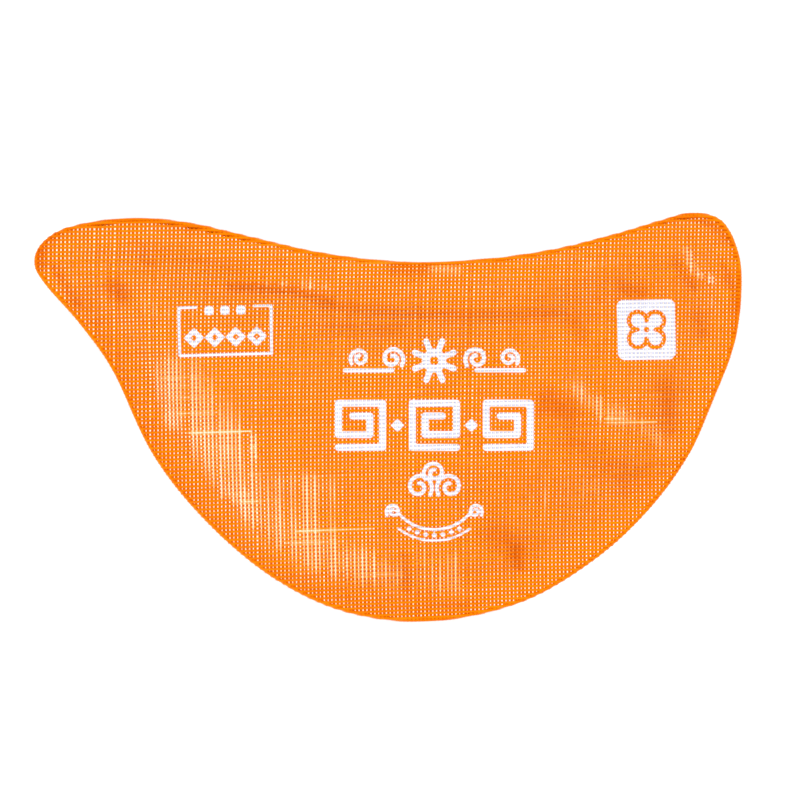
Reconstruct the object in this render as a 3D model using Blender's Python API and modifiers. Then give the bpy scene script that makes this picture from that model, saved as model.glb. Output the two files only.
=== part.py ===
"""A nest-shaped food packet of open woven mesh, closed and lying on its back.

The plan is a crescent: a full lower curve, a shallow hollow along the top edge, and a horn at each
end. A filled film pouch with a flat flange lies between a bulged front mesh, whose edge is turned
under all round, and a flatter back mesh with a flat spot that the packet rests on.

X runs along the packet to its right horn, Y up the plan to its hollow edge, and Z up from the
surface that it lies on. Lengths are in metres.
"""

import bmesh
import bpy
import numpy as np

MM = 0.001

# Plan of the packet in millimetres from its middle: from the left horn's tip, along the hollow top
# edge, over the right horn and back round the full lower curve. A smooth curve joins the points.
PLAN_MM = (
    (-68.1, 34.7), (-62.6, 37.7), (-50.8, 39.4), (-39.0, 38.4), (-27.2, 35.7),
    (-13.0, 32.5), (2.4, 30.8), (17.7, 31.2), (31.9, 33.1), (44.9, 36.3),
    (53.2, 38.8), (59.9, 40.4), (65.8, 38.8), (69.1, 32.5), (69.7, 24.3),
    (68.3, 14.4), (64.4, 4.0), (59.1, -7.8), (51.0, -18.7), (40.2, -28.5),
    (26.0, -36.6), (8.3, -40.3), (-8.3, -38.5), (-22.8, -31.7), (-36.0, -20.6),
    (-46.5, -7.4), (-54.3, 8.9), (-60.8, 18.2), (-67.9, 26.4), (-69.9, 30.6),
)
RIGHT_TIP = 12  # the plan point at the right horn's tip; the left one is point 0

RAIL_STEPS = 52  # steps along each edge, from tip to tip
HORN_STEPS = 6  # steps at each tip that share one end of the spine
RAIL_SHIFT = 0.28  # how much the full edge's steps are shorter at its ends, and the other's longer
CURVE_STEPS = 40  # points read between two plan points before they are spaced evenly

MESH_THICK = 0.4 * MM
FLANGE_THICK = 0.5 * MM
GAP = 0.3 * MM  # between neighbouring pieces
DOME_GAP = 0.5 * MM  # the same where they slope, measured upright

RIM_LOWER = 5.5 * MM  # flat rim along the full curve
RIM_UPPER = 7.5 * MM  # flat rim along the hollow edge
HORN_RIM = 0.6  # most of the way to the spine that the rim takes up, in the horns
HEM_WIDTH = 4.0 * MM  # how far the front's edge is turned under
EDGE_ROUND = 0.6 * MM  # run of the front's rounded edge
BACK_INSET = 1.1 * MM  # the back's edge, inside the turned one
FLANGE_INSET = 1.1 * MM

BACK_DEPTH = 3.0 * MM  # from the resting spot up to the hem
FRONT_RISE = 6.5 * MM  # bulge of the front above its rim
FRONT_POWER = 2.0  # how full the bulge is; higher is fuller at the rim
FRONT_TAPER = 0.8  # how fast it gets lower where the packet is narrower
FRONT_STEPS = 5
BACK_STEPS = 4
FLAT_SHARE = 0.5  # of the way from the rim to the spine, where the flat spot starts
FLAT_ROOM = 12.0 * MM  # least run from rim to spine where the back reaches the flat spot
BACK_TAPER = 1.5  # how fast its drop gets less where the run is shorter

# Heights of the middle of each layer in the rim, from the hem up.
HEM_Z = BACK_DEPTH + MESH_THICK / 2
BACK_Z = HEM_Z + MESH_THICK + GAP
FLANGE_LOW_Z = BACK_Z + MESH_THICK / 2 + GAP
FLANGE_HIGH_Z = FLANGE_LOW_Z + FLANGE_THICK
FRONT_Z = FLANGE_HIGH_Z + GAP + MESH_THICK / 2

FINISHES = {
    "front_mesh": ((0.98, 0.21, 0.01), 0.35),
    "back_mesh": ((0.90, 0.18, 0.01), 0.40),
    "inner_pouch": ((0.92, 0.91, 0.88), 0.45),
}


def smooth_curve(points, steps):
    """Closed Catmull-Rom curve through the points, with that many steps between two of them."""
    count = len(points)
    place = np.arange(count * steps) / steps
    start = place.astype(int)
    share = (place - start)[:, None]
    before, here, after, beyond = (points[(start + k) % count] for k in (-1, 0, 1, 2))
    bend = 2 * before - 5 * here + 4 * after - beyond
    twist = 3 * (here - after) + beyond - before
    return here + 0.5 * ((after - before) * share + bend * share**2 + twist * share**3)


def rail(line, steps, shift):
    """Points along the line without its end, shift of a step further apart at its ends."""
    along = np.concatenate([[0], np.cumsum(np.linalg.norm(np.diff(line, axis=0), axis=1))])
    share = np.arange(steps) / steps
    share = share + shift * np.sin(2 * np.pi * share) / (2 * np.pi)
    return np.stack([np.interp(share * along[-1], along, line[:, k]) for k in (0, 1)], axis=1)


class Plan:
    """The edge of the packet, and the spine half way between its two edges."""

    def __init__(self):
        curve = smooth_curve(np.array(PLAN_MM) * MM, CURVE_STEPS)
        tip = RIGHT_TIP * CURVE_STEPS
        upper = rail(curve[: tip + 1], RAIL_STEPS, RAIL_SHIFT)
        lower = rail(np.vstack([curve[tip:], curve[:1]]), RAIL_STEPS, -RAIL_SHIFT)
        edge = np.vstack([upper, lower])
        self.edge = edge - (edge.min(axis=0) + edge.max(axis=0)) / 2
        count = len(edge)
        index = np.arange(count)
        opposite = (count - index) % count
        self.foot = np.clip(np.minimum(index, opposite), HORN_STEPS, RAIL_STEPS - HORN_STEPS)
        self.spine = (0.5 * (self.edge + self.edge[opposite]))[: RAIL_STEPS + 1]
        across = self.spine[self.foot] - self.edge
        self.reach = np.linalg.norm(across, axis=1)
        self.inward = across / self.reach[:, None]
        along = np.roll(self.edge, -1, axis=0) - np.roll(self.edge, 1, axis=0)
        normal = np.stack([along[:, 1], -along[:, 0]], axis=1)
        normal /= np.linalg.norm(normal, axis=1)[:, None]
        self.square = (normal * self.inward).sum(axis=1)
        upper_share = np.sqrt(np.maximum(np.sin(np.pi * index / RAIL_STEPS), 0))
        rim = (RIM_LOWER + (RIM_UPPER - RIM_LOWER) * upper_share) / self.square
        self.rim = np.minimum(rim, HORN_RIM * self.reach)
        least = np.full(RAIL_STEPS + 1, np.inf)
        np.minimum.at(least, self.foot, self.reach - self.rim)
        self.room = least[self.foot]

    def inset(self, distance, height):
        """The edge moved in by that distance, at that height."""
        flat = self.edge + self.inward * (distance / self.square)[:, None]
        return np.column_stack([flat, np.full(len(flat), height)])

    def inner(self, share, height):
        """A ring that share of the way from the rim's inner line to the spine."""
        start = self.edge + self.inward * self.rim[:, None]
        flat = start + (self.spine[self.foot] - start) * share
        return np.column_stack([flat, np.broadcast_to(height, len(flat))])

    def crest(self, height):
        """The spine's own points at the heights that the edge points give them."""
        line = np.zeros((RAIL_STEPS + 1, 3))
        line[:, :2] = self.spine
        line[self.foot, 2] = np.broadcast_to(height, len(self.foot))
        return line


def front_height(plan, share):
    """Height of the front's middle surface above its rim, fullest along the spine."""
    width = (plan.room / plan.room.max()) ** FRONT_TAPER
    return FRONT_RISE * width * (1 - (1 - share) ** FRONT_POWER)


def back_drop(plan, share):
    """Drop of the back's middle surface below its rim, down to the flat spot."""
    full = BACK_Z - MESH_THICK / 2
    width = np.clip(plan.room / FLAT_ROOM, 0, 1) ** BACK_TAPER
    run = np.clip(share / FLAT_SHARE, 0, 1)
    return full * width * run * run * (3 - 2 * run)


def loft(name, plan, rings, first=None, last=None):
    """One mesh object from rings of edge points, closed on the spine at its first or last ring."""
    bm = bmesh.new()
    made = [[bm.verts.new(point) for point in ring] for ring in rings]
    count = len(plan.edge)
    for low, high in zip(made, made[1:]):
        for i in range(count):
            k = (i + 1) % count
            bm.faces.new((low[i], low[k], high[k], high[i]))
    for ring, crest in ((made[0], first), (made[-1], last)):
        if crest is None:
            continue
        ends = {j: bm.verts.new(crest[j]) for j in sorted(set(plan.foot))}
        for i in range(count):
            k = (i + 1) % count
            corners = [ring[i], ring[k], ends[plan.foot[k]]]
            if plan.foot[i] != plan.foot[k]:
                corners.append(ends[plan.foot[i]])
            bm.faces.new(corners)
    bmesh.ops.recalc_face_normals(bm, faces=bm.faces)
    mesh = bpy.data.meshes.new(name)
    bm.to_mesh(mesh)
    bm.free()
    mesh.shade_smooth()
    return bpy.data.objects.new(name, mesh)


def thicken(piece, thickness):
    """Gives an open surface its wall, half on either side of it."""
    wall = piece.modifiers.new("wall", "SOLIDIFY")
    wall.thickness = thickness
    wall.offset = 0
    wall.use_even_offset = True


def front_mesh(plan):
    """The bulged front: hem turned under, rounded edge, flat rim and bulge."""
    rings = [
        plan.inset(HEM_WIDTH, HEM_Z),
        plan.inset(EDGE_ROUND + MESH_THICK / 2, HEM_Z),
        plan.inset(MESH_THICK / 2, HEM_Z + EDGE_ROUND),
        plan.inset(MESH_THICK / 2, FRONT_Z - EDGE_ROUND),
        plan.inset(EDGE_ROUND + MESH_THICK / 2, FRONT_Z),
    ]
    for step in range(FRONT_STEPS):
        share = step / FRONT_STEPS
        rings.append(plan.inner(share, FRONT_Z + front_height(plan, share)))
    crest = plan.crest(FRONT_Z + front_height(plan, 1))
    piece = loft("front_mesh", plan, rings, last=crest)
    thicken(piece, MESH_THICK)
    return piece


def back_mesh(plan):
    """The flatter back, whose flat spot lies on the surface."""
    rings = [plan.inset(BACK_INSET, BACK_Z)]
    for step in range(BACK_STEPS):
        share = step / BACK_STEPS
        rings.append(plan.inner(share, BACK_Z - back_drop(plan, share)))
    crest = plan.crest(BACK_Z - back_drop(plan, 1))
    piece = loft("back_mesh", plan, rings, last=crest)
    thicken(piece, MESH_THICK)
    return piece


def inner_pouch(plan):
    """The filled pouch: it fills the space between the two meshes and has a flat flange."""
    clear = MESH_THICK / 2 + DOME_GAP
    lower, upper = [], []
    for step in range(1, BACK_STEPS):
        share = step / BACK_STEPS
        lower.append(plan.inner(share, BACK_Z + clear - back_drop(plan, share)))
    for step in range(1, FRONT_STEPS):
        share = step / FRONT_STEPS
        upper.append(plan.inner(share, FRONT_Z - clear + front_height(plan, share)))
    rings = [
        *reversed(lower),
        plan.inner(0, FLANGE_LOW_Z),
        plan.inset(FLANGE_INSET, FLANGE_LOW_Z),
        plan.inset(FLANGE_INSET, FLANGE_HIGH_Z),
        plan.inner(0, FLANGE_HIGH_Z),
        *upper,
    ]
    under = plan.crest(BACK_Z + clear - back_drop(plan, 1))
    over = plan.crest(FRONT_Z - clear + front_height(plan, 1))
    return loft("inner_pouch", plan, rings, first=under, last=over)


def dress(piece):
    """Gives the piece a plain material of its own."""
    colour, roughness = FINISHES[piece.name]
    material = bpy.data.materials.new(piece.name)
    material.use_nodes = True
    shader = material.node_tree.nodes["Principled BSDF"]
    shader.inputs["Base Color"].default_value = (*colour, 1)
    shader.inputs["Roughness"].default_value = roughness
    shader.inputs["Metallic"].default_value = 0
    piece.data.materials.append(material)


def main():
    """Clears the scene and builds the packet in a collection of its own."""
    for old in list(bpy.data.objects):
        bpy.data.objects.remove(old)
    packet = bpy.data.collections.new("mesh_packet")
    bpy.context.scene.collection.children.link(packet)
    plan = Plan()
    for make in (inner_pouch, back_mesh, front_mesh):
        piece = make(plan)
        dress(piece)
        packet.objects.link(piece)


main()
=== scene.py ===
"""A closed packet of open orange mesh round a filled white film pouch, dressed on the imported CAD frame.

Every shape is worked out with numpy in millimetres, in the frame of the CAD: +X along the packet to its
right horn, +Y to its hollow edge, +Z up out of its printed front. Meshes are written in metres.
"""
import logging
import math
from dataclasses import dataclass, field
from enum import Enum

import bpy
import numpy as np
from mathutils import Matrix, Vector
from mathutils.bvhtree import BVHTree


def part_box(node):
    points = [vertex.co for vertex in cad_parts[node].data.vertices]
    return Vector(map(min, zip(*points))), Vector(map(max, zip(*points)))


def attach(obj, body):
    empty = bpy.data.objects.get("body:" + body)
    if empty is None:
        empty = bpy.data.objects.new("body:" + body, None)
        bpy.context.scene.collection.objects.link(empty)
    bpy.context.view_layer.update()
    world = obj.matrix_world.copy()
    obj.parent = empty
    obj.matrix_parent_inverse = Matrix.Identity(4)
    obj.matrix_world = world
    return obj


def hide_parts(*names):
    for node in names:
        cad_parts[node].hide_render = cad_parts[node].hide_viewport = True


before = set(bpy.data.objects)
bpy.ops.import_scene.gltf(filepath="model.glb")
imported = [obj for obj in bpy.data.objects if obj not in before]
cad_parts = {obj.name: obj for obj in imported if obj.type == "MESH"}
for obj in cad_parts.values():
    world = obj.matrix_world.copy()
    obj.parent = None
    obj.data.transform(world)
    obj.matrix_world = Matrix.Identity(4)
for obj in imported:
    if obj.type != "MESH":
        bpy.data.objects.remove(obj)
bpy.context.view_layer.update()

LOG = logging.getLogger("mesh_packet")
Array = np.ndarray

MM = 0.001
BODY = "root"

# the packet's edge in mm, walked clockwise from the left horn, as in the CAD
PLAN_MM = (
    (-68.1, 34.7), (-62.6, 37.7), (-50.8, 39.4), (-39.0, 38.4), (-27.2, 35.7),
    (-13.0, 32.5), (2.4, 30.8), (17.7, 31.2), (31.9, 33.1), (44.9, 36.3),
    (53.2, 38.8), (59.9, 40.4), (65.8, 38.8), (69.1, 32.5), (69.7, 24.3),
    (68.3, 14.4), (64.4, 4.0), (59.1, -7.8), (51.0, -18.7), (40.2, -28.5),
    (26.0, -36.6), (8.3, -40.3), (-8.3, -38.5), (-22.8, -31.7), (-36.0, -20.6),
    (-46.5, -7.4), (-54.3, 8.9), (-60.8, 18.2), (-67.9, 26.4), (-69.9, 30.6),
)
RIGHT_TIP = 12

# the camera's frame is 800 px across, and this many mm of the packet fall on one of them
FRAME_SCALE = 0.1969
FRAME_CENTRE_PX = (388.0, 417.25)

# heights of the layers in the flat rim, in mm: the middle of the front cloth, of the film's flange,
# of the back cloth and of the hem that the front cloth makes under them
FRONT_RIM_Z = 5.35
FLANGE_Z = 5.03
BACK_RIM_Z = 4.72
ROLL_RADIUS = 0.5
ROLL_INSET = 0.17
HEM_WIDTH = 3.3
BACK_INSET = 0.9
CAD_BACK_RIM_Z = 3.9
CLOTH_HALF = 0.19
EDGE_BAND = 1.7


def from_frame(px: float, py: float) -> tuple[float, float]:
    """Place in mm of a point that the camera sees at that pixel of its 800 px frame."""
    return (px - FRAME_CENTRE_PX[0]) * FRAME_SCALE, (FRAME_CENTRE_PX[1] - py) * FRAME_SCALE


def linear(hex_colour: str) -> tuple[float, float, float, float]:
    """Linear colour of an sRGB hex colour such as "#F58220"."""
    parts = [int(hex_colour[i:i + 2], 16) / 255 for i in (1, 3, 5)]
    return (*[p / 12.92 if p <= 0.04045 else ((p + 0.055) / 1.055) ** 2.4 for p in parts], 1.0)


def smoothstep(low: float, high: float, value: Array) -> Array:
    """0 below low, 1 above high, and 3 t^2 - 2 t^3 between them."""
    share = np.clip((value - low) / (high - low), 0, 1)
    return share * share * (3 - 2 * share)


def plane_noise(x: Array, y: Array, cell: float, seed: int) -> Array:
    """Smooth noise over the plan, from -1 to 1.

    Random numbers stand on a square lattice, and between them they are joined by 3 t^2 - 2 t^3.

    Args:
        x: Places in mm.
        y: Places in mm.
        cell: Lattice spacing in mm.
        seed: Seed of the random numbers.

    Returns:
        One number for each place.
    """
    reach = 110.0
    count = int(2 * reach / cell) + 3
    lattice = np.random.default_rng(seed).uniform(-1, 1, (count, count))
    gx = np.clip((x + reach) / cell, 0, count - 2.001)
    gy = np.clip((y + reach) / cell, 0, count - 2.001)
    ix, iy = gx.astype(int), gy.astype(int)
    fx, fy = gx - ix, gy - iy
    fx, fy = fx * fx * (3 - 2 * fx), fy * fy * (3 - 2 * fy)
    low = lattice[ix, iy] * (1 - fx) + lattice[ix + 1, iy] * fx
    high = lattice[ix, iy + 1] * (1 - fx) + lattice[ix + 1, iy + 1] * fx
    return low * (1 - fy) + high * fy


def thread_noise(threads: int, length: int, run: float, seed: int) -> Array:
    """Noise from -1 to 1 that is each thread's own: random numbers every run steps along it, joined smoothly.

    Args:
        threads: Number of threads.
        length: Steps along each.
        run: Steps between two random numbers.
        seed: Seed of the random numbers.

    Returns:
        Array of threads by length.
    """
    knots = int(length / run) + 3
    values = np.random.default_rng(seed).uniform(-1, 1, (threads, knots))
    place = np.arange(length) / run
    start = place.astype(int)
    share = place - start
    share = share * share * (3 - 2 * share)
    return values[:, start] * (1 - share) + values[:, start + 1] * share


def closed_curve(points: Array, steps: int) -> Array:
    """Closed Catmull-Rom curve through the points, as in the CAD, with that many steps between two of them."""
    count = len(points)
    place = np.arange(count * steps) / steps
    start = place.astype(int)
    share = (place - start)[:, None]
    before, here, after, beyond = (points[(start + k) % count] for k in (-1, 0, 1, 2))
    bend = 2 * before - 5 * here + 4 * after - beyond
    twist = 3 * (here - after) + beyond - before
    return here + 0.5 * ((after - before) * share + bend * share**2 + twist * share**3)


def write_mesh(name: str, verts: Array, *face_sets: Array) -> bpy.types.Object:
    """Puts arrays into a smooth-shaded mesh object, in metres.

    Args:
        name: Name of the piece.
        verts: Places in mm, one row each.
        face_sets: Arrays of corner indices, each with one row of three or of four for each face.

    Returns:
        The object, linked to the scene.
    """
    mesh = bpy.data.meshes.new(name)
    mesh.vertices.add(len(verts))
    mesh.vertices.foreach_set("co", (verts * MM).astype(np.float32).ravel())
    corners = np.concatenate([faces.ravel() for faces in face_sets]).astype(np.int32)
    sizes = np.concatenate([np.full(len(faces), faces.shape[1]) for faces in face_sets])
    mesh.loops.add(len(corners))
    mesh.loops.foreach_set("vertex_index", corners)
    mesh.polygons.add(len(sizes))
    mesh.polygons.foreach_set("loop_start", (np.cumsum(sizes) - sizes).astype(np.int32))
    mesh.polygons.foreach_set("use_smooth", np.ones(len(sizes), bool))
    mesh.update(calc_edges=True)
    mesh.validate()
    piece = bpy.data.objects.new(name, mesh)
    bpy.context.scene.collection.objects.link(piece)
    return piece


def give_values(piece: bpy.types.Object, name: str, values: Array) -> None:
    """Stores one number for each vertex as an attribute that the piece's material reads."""
    layer = piece.data.attributes.new(name, "FLOAT", "POINT")
    layer.data.foreach_set("value", values.astype(np.float32).ravel())


def add_node(tree: bpy.types.NodeTree, kind: str, settings: dict | None = None, **inputs: object) -> bpy.types.Node:
    """Adds a shader node, sets its properties, and links or sets its inputs.

    Args:
        tree: The node tree.
        kind: The node's type without its "ShaderNode" prefix.
        settings: Properties of the node itself.
        inputs: Input sockets by name, with _ for a space, or i0, i1 for the first, second and so on; each value
            is a number, a colour, or an output socket to link.

    Returns:
        The node.
    """
    node = tree.nodes.new("ShaderNode" + kind)
    for key, value in (settings or {}).items():
        setattr(node, key, value)
    for key, value in inputs.items():
        place = int(key[1:]) if key[0] == "i" and key[1:].isdigit() else key.replace("_", " ")
        socket = node.inputs[place]
        if isinstance(value, bpy.types.NodeSocket):
            tree.links.new(value, socket)
        else:
            socket.default_value = value
    return node


def new_material(name: str) -> tuple[bpy.types.Material, bpy.types.NodeTree, bpy.types.Node]:
    """A material with its tree and its one Principled shader."""
    material = bpy.data.materials.new(name)
    material.use_nodes = True
    return material, material.node_tree, material.node_tree.nodes["Principled BSDF"]


class Edge:
    """The packet's outline seen from above, and each place's distance to it."""

    spacing = 0.3
    margin = 7.0

    def __init__(self) -> None:
        """Lays the outline into the CAD node's box and works out its distance grid."""
        curve = closed_curve(np.array(PLAN_MM), 40)
        low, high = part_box("front_mesh")
        middle = np.array([(low[k] + high[k]) / 2 / MM for k in (0, 1)])
        self.line = curve - (curve.min(axis=0) + curve.max(axis=0)) / 2 + middle
        self.low = self.line.min(axis=0) - self.margin
        self.size = np.ceil((self.line.max(axis=0) + self.margin - self.low) / self.spacing).astype(int) + 1
        gx = self.low[0] + np.arange(self.size[0]) * self.spacing
        gy = self.low[1] + np.arange(self.size[1]) * self.spacing
        x, y = np.meshgrid(gx, gy, indexing="ij")
        self.distances = self.exact(x.ravel(), y.ravel()).reshape(x.shape)
        self.slopes = np.gradient(self.distances, self.spacing)

    def exact(self, x: Array, y: Array) -> Array:
        """Signed distance in mm to the outline, negative inside.

        The size is the least distance to any of the outline's segments, and the sign comes from the crossings
        of a ray to the right with the outline: an odd number means inside.
        """
        start, end = self.line, np.roll(self.line, -1, axis=0)
        run = end - start
        squared = (run**2).sum(axis=1)
        result = np.empty(len(x))
        block = 4000
        for first in range(0, len(x), block):
            px = x[first:first + block, None]
            py = y[first:first + block, None]
            dx, dy = px - start[:, 0], py - start[:, 1]
            share = np.clip((dx * run[:, 0] + dy * run[:, 1]) / squared, 0, 1)
            gap = (dx - share * run[:, 0])**2 + (dy - share * run[:, 1])**2
            above = (start[:, 1] > py) != (end[:, 1] > py)
            slope = np.where(np.abs(run[:, 1]) < 1e-9, 1e-9, run[:, 1])
            crossing = above & (px < start[:, 0] + (py - start[:, 1]) * run[:, 0] / slope)
            inside = crossing.sum(axis=1) % 2 == 1
            result[first:first + block] = np.sqrt(gap.min(axis=1)) * np.where(inside, -1, 1)
        return result

    def _read(self, grid: Array, x: Array, y: Array) -> Array:
        """The grid's value at each place, by bilinear interpolation."""
        return read_grid(grid, self.low, self.spacing, x, y)

    def distance(self, x: Array, y: Array) -> Array:
        """Signed distance in mm, negative inside, read from the grid."""
        return self._read(self.distances, x, y)

    def outward(self, x: Array, y: Array) -> tuple[Array, Array]:
        """Unit vector away from the inside, as two arrays."""
        gx, gy = (self._read(slope, x, y) for slope in self.slopes)
        length = np.maximum(np.hypot(gx, gy), 1e-6)
        return gx / length, gy / length


def read_grid(grid: Array, low: Array, spacing: float, x: Array, y: Array) -> Array:
    """Bilinear interpolation in a regular grid.

    Args:
        grid: Values, first index along x.
        low: Place of the grid's first value.
        spacing: Distance between values, in mm.
        x: Places in mm.
        y: Places in mm.

    Returns:
        One value for each place; places outside take the value at the border.
    """
    gx = np.clip((x - low[0]) / spacing, 0, grid.shape[0] - 1.001)
    gy = np.clip((y - low[1]) / spacing, 0, grid.shape[1] - 1.001)
    ix, iy = gx.astype(int), gy.astype(int)
    fx, fy = gx - ix, gy - iy
    left = grid[ix, iy] * (1 - fy) + grid[ix, iy + 1] * fy
    right = grid[ix + 1, iy] * (1 - fy) + grid[ix + 1, iy + 1] * fy
    return left * (1 - fx) + right * fx


def blur_grid(grid: Array, sigma: float) -> Array:
    """The grid smoothed by a Gaussian of that many cells, first down its columns and then along its rows."""
    reach = int(3 * sigma) + 1
    weights = np.exp(-np.arange(-reach, reach + 1)**2 / (2 * sigma**2))
    weights /= weights.sum()
    for axis in (0, 1):
        wide = np.pad(grid, [(reach, reach) if k == axis else (0, 0) for k in (0, 1)], mode="edge")
        parts = [np.take(wide, np.arange(k, k + grid.shape[axis]), axis=axis) for k in range(2 * reach + 1)]
        grid = sum(weight * part for weight, part in zip(weights, parts))
    return grid


class Side(Enum):
    """The side of the packet that a cloth is on, with the way that it faces."""

    FRONT = 1
    BACK = -1


class Threads(Enum):
    """The two sets of threads of a cloth."""

    WEFT = "weft"
    WARP = "warp"


class On(Enum):
    """The threads that a mark's painted highlight falls on."""

    BOTH = "both"
    WEFT = "weft"
    WARP = "warp"


@dataclass(frozen=True)
class Mark:
    """A crease, ridge, painted shade or painted highlight of the cloth, along a path or round a spot.

    Attributes:
        path: One point or more, in px of the camera's frame.
        width: Half width in px at which it has faded to a third.
        rise: Height in mm that it lifts the cloth, negative for a crease.
        painted_highlight: How far the threads' spans are painted pale and made glossier there, as a painted highlight.
        shade: How much painted shade darkens the cloth there, in a crease, dent or fold.
        on: The threads that take the painted highlight.
    """

    path: tuple[tuple[float, float], ...]
    width: float
    rise: float = 0.0
    painted_highlight: float = 0.0
    shade: float = 0.0
    on: On = On.BOTH

    def strength(self, x: Array, y: Array) -> Array:
        """1 on the path and exp(-(d / width)^2) at a distance d from it."""
        points = np.array([from_frame(*p) for p in self.path])
        nearest = np.full(np.shape(x), 1e9)
        if len(points) == 1:
            nearest = (x - points[0, 0])**2 + (y - points[0, 1])**2
        for start, end in zip(points[:-1], points[1:]):
            run = end - start
            share = np.clip(((x - start[0]) * run[0] + (y - start[1]) * run[1]) / (run @ run), 0, 1)
            gap = (x - start[0] - share * run[0])**2 + (y - start[1] - share * run[1])**2
            nearest = np.minimum(nearest, gap)
        return np.exp(-nearest / (self.width * FRAME_SCALE)**2)


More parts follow.
